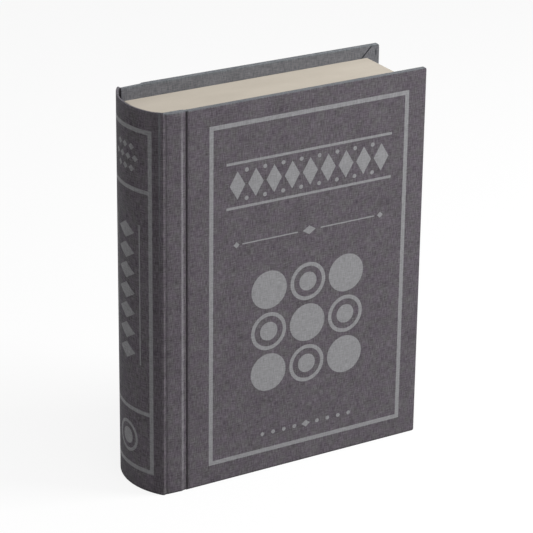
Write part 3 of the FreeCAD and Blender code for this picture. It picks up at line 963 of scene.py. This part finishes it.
SPINE_FRAME = (-22.6, 22.6, 12.0, 230.2)    # left, right, foot and head
CROSS_LINES = (192.2, 51.2)     # z of the two lines that part the frame
CROSS_HALF = (19.9, 1.25)   # half their length and half their thickness
TOP_ROWS = ((217.6, 3), (211.0, 4), (204.4, 3))     # z of each row of small lozenges, and how many
TOP_PITCH = 6.6
TOP_LOZENGE = (5.2, 4.2)
COLUMN_Z = 126.5            # the column of large lozenges
COLUMN_PITCH = 12.8
COLUMN_LOZENGE = (17.5, 10.4)
COLUMN_RULE = (13.0, 82.0, 171.0)   # the upright lines beside it: from the crown, foot and head
COLUMN_RULE_HALF = 0.5      # half their thickness
FOOT_RING = (31.5, 10.2, 2.0, 5.2)  # the ring at the foot: z, radius, line and dot
BEND_STEP = 1.45            # from one row of points to the next, where the print is bent
BEND_SHIFT = 0.31           # keeps those rows off the points of the lozenges


def spine_print():
    shape = bmesh.new()
    hollow(shape, bar(shape, *SPINE_FRAME), FRAME_LINE)
    length, thickness = CROSS_HALF
    for z in CROSS_LINES:
        bar(shape, -length, length, z - thickness, z + thickness)
    for z, count in TOP_ROWS:
        for x in row_places(0, TOP_PITCH, count):
            lozenge(shape, x, z, *TOP_LOZENGE)
    from_crown, foot, head = COLUMN_RULE
    for x in (-from_crown, from_crown):
        bar(shape, x - COLUMN_RULE_HALF, x + COLUMN_RULE_HALF, foot, head)
    for z in row_places(COLUMN_Z, COLUMN_PITCH, 7):
        lozenge(shape, 0, z, *COLUMN_LOZENGE)
    ring(shape, 0, *FOOT_RING)
    for i in range(-15, 16):
        cut_through(shape, (i * BEND_STEP + BEND_SHIFT, 0, 0), (1, 0, 0))
    thicken(shape, -FOIL_RISE, FOIL_SINK)
    bend_onto_back(shape)
    lay_cloth(shape, lay_spine)
    make_piece("spine_foil_print", shape, "case", [FOIL])


def bend_onto_back(shape):
    for vert in shape.verts:
        turn = -vert.co.x / SPINE_RADIUS
        reach = SPINE_RADIUS - vert.co.y
        vert.co.x = SPINE_CENTRE - reach * math.cos(turn)
        vert.co.y = reach * math.sin(turn)
    bmesh.ops.recalc_face_normals(shape, faces=shape.faces)


front_print()
spine_print()


# Game board: two leaves with a chequered outside and backgammon points inside, joined by a tape

LEAF_CORNERS = (0.4, 1.6)   # corner radius at the fold and at the free edge
LEAF_EDGE = 0.35
LEAF_AREA = 10000           # a leaf's two faces are larger than this, in square millimetres
LEAF_HEM = 0.3
BOARD_INK = 0.03            # how far the print stands above the board
SQUARE = 25.5
SQUARE_GAP = 0.05           # bare board left round each printed square
SQUARES_START = 0.8         # from the fold to the first square
POINTS_START = 11.0         # from the fold to the first point
POINTS_MARGIN = 8.0         # bare board left along the other edges
POINT_LENGTH = 88.0
POINT_GAP = 0.6             # bare board left at each side of a point
LOWER_LOW, LOWER_HIGH = box_mm("board_lower_leaf")
UPPER_LOW, UPPER_HIGH = box_mm("board_upper_leaf")
FOLD = LOWER_LOW.x


def board_print(name, dark, light):
    """Satin print on the game board, with the board's fine grain showing through."""
    finish = Finish(name, {"Specular IOR Level": 0.35})
    fibre = finish.grain((0.5, 0.5, 3.5), 3.0)
    cloud = finish.grain((22.0, 22.0, 22.0))
    level = (fibre - 0.5) * 0.9 + (cloud - 0.5) * 0.7 + 0.5
    return finish.surface(finish.mix(level, dark, light), 0.45 + fibre * 0.2, fibre, 0.02)


BOARD_PAPER = board_print("board_paper", tone(160, 149, 129), tone(181, 170, 150))
BOARD_DARK = board_print("board_dark_ink", tone(55, 51, 52), tone(74, 69, 69))
BOARD_PALE = board_print("board_pale_ink", tone(206, 198, 181), tone(223, 216, 201))
INKS = (("dark", BOARD_DARK), ("pale", BOARD_PALE))


def board_leaf(name, body, low, high):
    shape = rounded_slab(low, high, LEAF_CORNERS, LEAF_EDGE, 3)
    hem_faces(shape, LEAF_AREA, LEAF_HEM)
    make_piece(name, shape, body, [BOARD_PAPER], [name])


def ink(name, shape, body, level, looks, finish):
    """Puts a flat print on a leaf's face at y = level. looks is the sign of y that the face looks to."""
    thicken(shape, level - looks * BOARD_INK, level + looks * BOARD_INK)
    make_piece(name, shape, body, [finish], (), False)


def chequer(name, body, level, looks, beyond):
    """Half of an eight by eight field, starting at the fold. beyond shifts the dark squares by one."""
    middle = (LOWER_LOW.z + LOWER_HIGH.z) / 2
    side = SQUARE - 2 * SQUARE_GAP
    for tint, finish in INKS:
        shape = bmesh.new()
        for i in range(32):
            column, row = i % 4, i // 4
            if (column + row + beyond + (tint == "pale")) % 2:
                left = FOLD + SQUARES_START + column * SQUARE + SQUARE_GAP
                foot = middle + (row - 4) * SQUARE + SQUARE_GAP
                bar(shape, left, left + side, foot, foot + side)
        ink(f"{name}_{tint}", shape, body, level, looks, finish)


def points(name, body, level, looks, beyond):
    """Six points at the head and six at the tail, dark and pale by turns."""
    left, right = FOLD + POINTS_START, LOWER_HIGH.x - POINTS_MARGIN
    pitch = (right - left) / 6
    ends = ((LOWER_LOW.z + POINTS_MARGIN, POINT_LENGTH), (LOWER_HIGH.z - POINTS_MARGIN, -POINT_LENGTH))
    for tint, finish in INKS:
        shape = bmesh.new()
        for i in range(12):
            column, at_head = i % 6, i // 6
            if (column + at_head + beyond + (tint == "pale")) % 2:
                base, length = ends[at_head]
                start = left + column * pitch
                corners = ((start + POINT_GAP, base), (start + pitch - POINT_GAP, base),
                           (start + pitch / 2, base + length))
                shape.faces.new([shape.verts.new((x, 0, z)) for x, z in corners])
        ink(f"{name}_{tint}", shape, body, level, looks, finish)


TAPE_CREASE = 0.2           # from the fold to the middle of the tape's bend
TAPE_OUTER = 0.18           # radius of the bend, outside
TAPE_INNER = 0.04           # and inside


def fold_tape():
    """The tape lies folded between the leaves."""
    low, high = box_mm("board_hinge_tape")
    crease = (low.x + TAPE_CREASE, (low.y + high.y) / 2)
    outer = arc_points(crease, TAPE_OUTER, 90, 270, 10)
    inner = arc_points(crease, TAPE_INNER, 270, 90, 4)
    outline = [(high.x, crease[1] + TAPE_OUTER)] + outer + [(high.x, crease[1] - TAPE_OUTER)]
    outline += [(high.x, crease[1] - TAPE_INNER)] + inner + [(high.x, crease[1] + TAPE_INNER)]
    shape = raise_outline(outline, high.z - low.z)
    bmesh.ops.translate(shape, vec=(0, 0, low.z), verts=shape.verts)
    name = "board_hinge_tape"
    tape = make_piece(name, shape, None, [TAPE], [name], False)
    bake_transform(tape)


board_leaf("board_lower_leaf", "board_lower_half", LOWER_LOW, LOWER_HIGH)
board_leaf("board_upper_leaf", "board_upper_half", UPPER_LOW, UPPER_HIGH)
chequer("upper_chequer", "board_upper_half", UPPER_LOW.y, -1, 0)
chequer("lower_chequer", "board_lower_half", LOWER_HIGH.y, 1, 1)
points("upper_points", "board_upper_half", UPPER_HIGH.y, 1, 1)
points("lower_points", "board_lower_half", LOWER_LOW.y, -1, 0)
fold_tape()


# Dice and doubling cube

PIP_SPOTS = {1: [(0, 0)], 2: [(-1, -1), (1, 1)], 3: [(-1, -1), (0, 0), (1, 1)],
             4: [(-1, -1), (-1, 1), (1, -1), (1, 1)], 5: [(-1, -1), (-1, 1), (0, 0), (1, -1), (1, 1)],
             6: [(-1, -1), (-1, 0), (-1, 1), (1, -1), (1, 0), (1, 1)]}
DIE_SIDES = [1, 6, 2, 5, 3, 4]      # in the order of cube_sides()
DIE_EDGE = 1.6              # rounding of a die
PIP_PITCH = 2.7
PIP_RADIUS = 1.15
PIP_TOP = 0.94              # its top's share of that radius
PIP_HEIGHT = 0.24
PIP_SINK = 0.1              # how far its middle lies below the face
CUBE_SIDES = (64, 2, 4, 8, 16, 32)
CUBE_EDGE = 2.2             # rounding of the doubling cube
FIGURE_SIZE = 9.5
FIGURE_RISE = 0.06
SIDE_AREA = 30              # a cube's six sides are larger than this, in square millimetres
SIDE_HEM = 0.25


def cast_resin(name, dark, light, gloss):
    """Polished cast resin with faint clouds."""
    finish = Finish(name, {"Specular IOR Level": 0.5, "Coat Weight": 0.4, "Coat Roughness": 0.08})
    cloud = finish.grain((5.0, 5.0, 9.0), 4.0)
    scuff = finish.grain((0.6, 0.6, 0.6))
    return finish.surface(finish.mix(cloud, dark, light), gloss + scuff * 0.12, scuff, 0.006)


IVORY = cast_resin("ivory_resin", tone(222, 215, 198), tone(237, 232, 219), 0.18)
JET = cast_resin("jet_resin", tone(26, 26, 28), tone(42, 41, 43), 0.16)
PIP_DARK = cast_resin("dark_pip_paint", tone(34, 32, 33), tone(48, 46, 46), 0.35)
PIP_PALE = cast_resin("pale_pip_paint", tone(229, 226, 216), tone(241, 239, 232), 0.35)


def cube_sides(low, high):
    """A frame for each side of a cube, with its z axis looking out."""
    middle = (low + high) / 2
    half = (high.x - low.x) / 2
    turns = [("X", 90), ("X", -90), ("Y", 90), ("Y", -90), ("X", 0), ("X", 180)]
    for axis, degrees in turns:
        turn = Matrix.Rotation(math.radians(degrees), 4, axis)
        yield Matrix.Translation(middle) @ turn @ Matrix.Translation((0, 0, half))


def smooth_cube(low, high, edge):
    shape = plain_box(low, high)
    round_edges(shape, shape.edges[:], edge, 5)
    shape.normal_update()
    hem_faces(shape, SIDE_AREA, SIDE_HEM)
    return shape


def die(name, first, body_finish, pip_finish):
    """first is where in DIE_SIDES this die begins, so that each shows another value."""
    low, high = box_mm(name)
    shape = smooth_cube(low, high, DIE_EDGE)
    values = DIE_SIDES[first:] + DIE_SIDES[:first]
    for side, value in zip(cube_sides(low, high), values):
        for across, up in PIP_SPOTS[value]:
            add_pip(shape, side @ Matrix.Translation((across * PIP_PITCH, up * PIP_PITCH, -PIP_SINK)))
    make_piece(name, shape, "case", [body_finish, pip_finish], [name])


def add_pip(shape, place):
    """A shallow painted button, let into the face."""
    before = set(shape.faces)
    bmesh.ops.create_cone(shape, cap_ends=True, segments=20, radius1=PIP_RADIUS,
                          radius2=PIP_RADIUS * PIP_TOP, depth=PIP_HEIGHT, matrix=place)
    paint_new_faces(shape, before)


def paint_new_faces(shape, before):
    """Faces that weren't there before get the piece's second finish."""
    for face in set(shape.faces) - before:
        face.material_index = 1


def doubling_cube():
    name = "doubling_cube"
    low, high = box_mm(name)
    shape = smooth_cube(low, high, CUBE_EDGE)
    for side, value in zip(cube_sides(low, high), CUBE_SIDES):
        add_number(shape, side, str(value))
    make_piece(name, shape, "case", [IVORY, PIP_DARK], [name])


def add_number(shape, side, figures):
    """Plain figures as raised paint on one side of the cube."""
    curve = bpy.data.curves.new("figures", "FONT")
    curve.body = figures
    curve.size = FIGURE_SIZE
    curve.align_x = "CENTER"
    curve.align_y = "CENTER"
    curve.extrude = FIGURE_RISE
    holder = bpy.data.objects.new("figures", curve)
    mesh = bpy.data.meshes.new_from_object(holder)
    mesh.transform(side)
    before = set(shape.faces)
    shape.from_mesh(mesh)
    paint_new_faces(shape, before)
    bmesh.ops.remove_doubles(shape, verts=shape.verts, dist=0.002)
    bpy.data.objects.remove(holder)
    bpy.data.curves.remove(curve)
    bpy.data.meshes.remove(mesh)


for name, first in (("light_die_1", 0), ("light_die_2", 2)):
    die(name, first, IVORY, PIP_DARK)
for name, first in (("dark_die_1", 4), ("dark_die_2", 1)):
    die(name, first, JET, PIP_PALE)
doubling_cube()


# Dice cups

LEATHER_PEBBLE = 1.1
STITCHES = 36               # in each row
STITCH_ROW = 4.0            # from the mouth or foot of a cup to its row
STITCH_SIZE = (0.5, 1.9, 0.7)   # out, along and up
STITCH_SINK = 0.1           # how far its middle lies inside the wall


def cup_leather(name, dark, light):
    """Pebbled leather with darker hollows."""
    finish = Finish(name, {"Specular IOR Level": 0.4})
    spot = finish.point(*[part / LEATHER_PEBBLE for part in finish.place()])
    cell = finish.node("ShaderNodeTexVoronoi", {"feature": "SMOOTH_F1"}, {"Vector": spot, "Scale": 1.0})
    wear = finish.grain((9.0, 9.0, 9.0), 3.0)
    level = (0.9 - cell) * 0.6 + (wear - 0.5) * 0.9 + 0.25
    return finish.surface(finish.mix(level, dark, light), 0.42 + cell * 0.25, 1.0 - cell, 0.12)


def cup_stitches(name, cup, finish):
    """Two rows of saddle stitches round the mouth and foot of a cup."""
    low, high = box_mm(cup)
    middle = (low + high) / 2
    outward = Matrix.Translation(((high.y - low.y) / 2 - STITCH_SINK, 0, 0))
    shape = bmesh.new()
    for z in (low.z + STITCH_ROW, high.z - STITCH_ROW):
        for i in range(STITCHES):
            turn = Matrix.Rotation(math.radians(i * 360 / STITCHES), 4, "Z")
            place = Matrix.Translation((middle.x, middle.y, z)) @ turn @ outward
            stitch = place @ Matrix.Diagonal((*STITCH_SIZE, 1.0))
            bmesh.ops.create_icosphere(shape, subdivisions=1, radius=0.5, matrix=stitch)
    make_piece(name, shape, "case", [finish])


TAN_LEATHER = cup_leather("tan_leather", tone(96, 58, 34), tone(156, 101, 62))
BLACK_LEATHER = cup_leather("black_leather", tone(36, 32, 32), tone(70, 63, 61))
LINEN_THREAD = plain_paper("linen_thread", tone(196, 184, 158), tone(222, 212, 190))
dress(TAN_LEATHER, "light_dice_cup")
dress(BLACK_LEATHER, "dark_dice_cup")
cup_stitches("light_cup_stitches", "light_dice_cup", LINEN_THREAD)
cup_stitches("dark_cup_stitches", "dark_dice_cup", LINEN_THREAD)


# Checkers

CHECKERS = 15               # of each colour
CHECKER_THICK = 6.0
CHECKER_SHIFT = 17.0        # how far the wood's pattern moves from one checker to the next
STACK_FOOT = box_mm("light_checker_01")[0].z
RING_PITCH = 2.618          # from one ring of the wood to the next
LATHE_PITCH = 0.5           # from one mark of the lathe to the next


def turned_wood(name, checker, dark, light, gloss):
    """Turned wood under a clear satin varnish. Its lathe marks lie round the axis of the checker's stack."""
    finish = Finish(name, {"Specular IOR Level": 0.45, "Coat Weight": 0.35, "Coat Roughness": 0.18})
    low, high = box_mm(checker)
    x, y, z = finish.place()
    aside = x - (low.x + high.x) / 2
    ahead = y - (low.y + high.y) / 2
    each = ((z - STACK_FOOT) / CHECKER_THICK).floor() * CHECKER_SHIFT
    warp = finish.noise(finish.point(aside / 7.0, ahead / 7.0 + each, z / 30.0))
    growth = (aside * 0.9 + ahead * 0.25 + warp * 9.0 + each).wave(RING_PITCH) * 0.5 + 0.5
    pore = finish.noise(finish.point(aside / 0.35, ahead / 5.0 + each, z / 0.35), 3.0)
    lathe = (aside * aside + ahead * ahead).root().wave(LATHE_PITCH)
    level = growth * 0.55 + (pore - 0.5) * 0.9 + 0.22
    colour = finish.mix(level, dark, light)
    return finish.surface(colour, gloss + pore * 0.15, pore * 0.6 + lathe * 0.2, 0.02)


LIGHT_WOOD = turned_wood("light_wood", "light_checker_01", tone(168, 126, 82), tone(214, 178, 130), 0.3)
DARK_WOOD = turned_wood("dark_wood", "dark_checker_01", tone(44, 34, 30), tone(82, 64, 55), 0.28)
for i in range(1, CHECKERS + 1):
    dress(LIGHT_WOOD, f"light_checker_{i:02d}")
    dress(DARK_WOOD, f"dark_checker_{i:02d}")


# Floor, light and camera, in metres

WHITE = (1, 1, 1, 1)
FLOOR_RADIUS = 6.0
FLOOR_GLOW = 0.85           # how much of the floor's look is its own white
LIGHT_TARGET = (0.0, 0.0, 0.14)
CAMERA_PLACE = (-0.72385, -1.20829, 0.71193)
CAMERA_TURN = (67.2585, -0.6291, -30.6986)  # tilt, roll and pan, in degrees
CAMERA_LENS = 170.45


def white_floor():
    """A wide pale floor. It is seen near white, with the object's soft shadow on it."""
    finish = Finish("floor", {"Roughness": 0.9, "Specular IOR Level": 0.1})
    seen = finish.seen()
    colour = finish.mix(seen, tone(188, 188, 188), tone(245, 245, 245))
    finish.feed(finish.shader.inputs["Base Color"], colour)
    paint = Value(finish, finish.shader.outputs[0])
    glow = finish.node("ShaderNodeEmission", {}, {"Color": WHITE, "Strength": 1.0})
    mixed = finish.node("ShaderNodeMixShader", {}, {0: seen * FLOOR_GLOW, 1: paint, 2: glow})
    finish.feed(finish.tree.nodes["Material Output"].inputs["Surface"], mixed)
    shape = bmesh.new()
    bmesh.ops.create_circle(shape, cap_ends=True, segments=64, radius=FLOOR_RADIUS)
    mesh = bpy.data.meshes.new("floor")
    shape.to_mesh(mesh)
    shape.free()
    mesh.materials.append(finish.material)
    floor = bpy.data.objects.new("floor", mesh)
    bpy.context.scene.collection.objects.link(floor)


def studio_sky(level):
    """Even light from all round, and white where it is seen past the floor."""
    world = bpy.data.worlds.new("studio")
    bpy.context.scene.world = world
    sky = Nodes(world)
    fill = sky.node("ShaderNodeBackground", {}, {"Color": WHITE, "Strength": level})
    white = sky.node("ShaderNodeBackground", {}, {"Color": WHITE, "Strength": 1.0})
    either = sky.node("ShaderNodeMixShader", {}, {0: sky.seen(), 1: fill, 2: white})
    sky.feed(sky.tree.nodes["World Output"].inputs["Surface"], either)


def softbox(name, place, side, power):
    """A square lamp that looks at the middle of the case."""
    lamp = bpy.data.lights.new(name, "AREA")
    lamp.size = side
    lamp.energy = power
    holder = bpy.data.objects.new(name, lamp)
    holder.location = place
    holder.rotation_euler = (Vector(LIGHT_TARGET) - Vector(place)).to_track_quat("-Z", "Y").to_euler()
    bpy.context.scene.collection.objects.link(holder)


def photo_camera():
    lens = bpy.data.cameras.new("camera")
    lens.lens = CAMERA_LENS
    lens.sensor_width = 36.0
    lens.clip_end = 50.0
    camera = bpy.data.objects.new("camera", lens)
    turn = Euler([math.radians(angle) for angle in CAMERA_TURN])
    camera.matrix_world = Matrix.LocRotScale(Vector(CAMERA_PLACE), turn, None)
    bpy.context.scene.collection.objects.link(camera)
    bpy.context.scene.camera = camera


white_floor()
studio_sky(0.3)
softbox("key", (0.84, -0.544, 0.828), 0.5, 13.6)
softbox("top", (-0.1, -0.5, 2.0), 1.0, 16.0)
photo_camera()
bpy.context.scene.view_settings.view_transform = "Standard"
